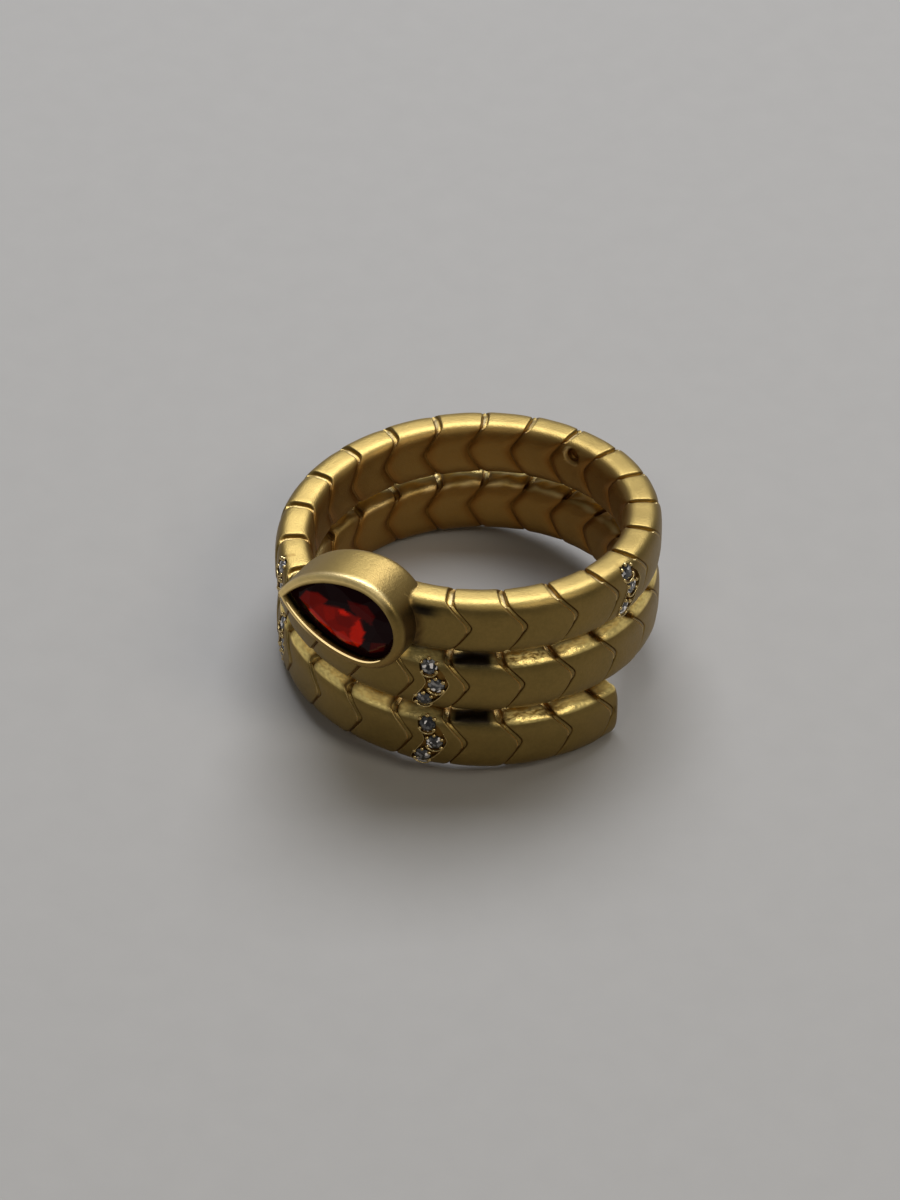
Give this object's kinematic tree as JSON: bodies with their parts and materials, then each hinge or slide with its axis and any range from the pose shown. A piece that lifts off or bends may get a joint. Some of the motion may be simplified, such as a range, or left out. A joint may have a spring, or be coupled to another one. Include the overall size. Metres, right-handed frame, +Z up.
{
  "type": "snake wrap ring",
  "caption": "Snake wrap ring: a scaled gold band that winds round the finger, with a bezel head that holds a red pear-cut stone and small clear stones set in its scales.",
  "frame": {"origin": "where the axis of the finger hole meets the surface that the ring rests on", "axes": "+Z straight up from that surface, with the ring on its side as it rests by itself; -Y towards the front, where the head is at the left and the tail at the right"},
  "size_m": [0.0214, 0.022, 0.0129],
  "materials": {
    "gold": "satin",
    "red_stone": "faceted",
    "clear_stone": "faceted"
  },
  "bodies": {
    "root": {"snake_band": "gold", "pear_stone": "red_stone", "small_stone_1": "clear_stone", "small_stone_2": "clear_stone", "small_stone_3": "clear_stone", "small_stone_4": "clear_stone", "small_stone_5": "clear_stone", "small_stone_6": "clear_stone", "small_stone_7": "clear_stone", "small_stone_8": "clear_stone", "small_stone_9": "clear_stone", "small_stone_10": "clear_stone", "small_stone_11": "clear_stone", "small_stone_12": "clear_stone", "small_stone_13": "clear_stone", "small_stone_14": "clear_stone", "small_stone_15": "clear_stone"}
  },
  "joints": []
}
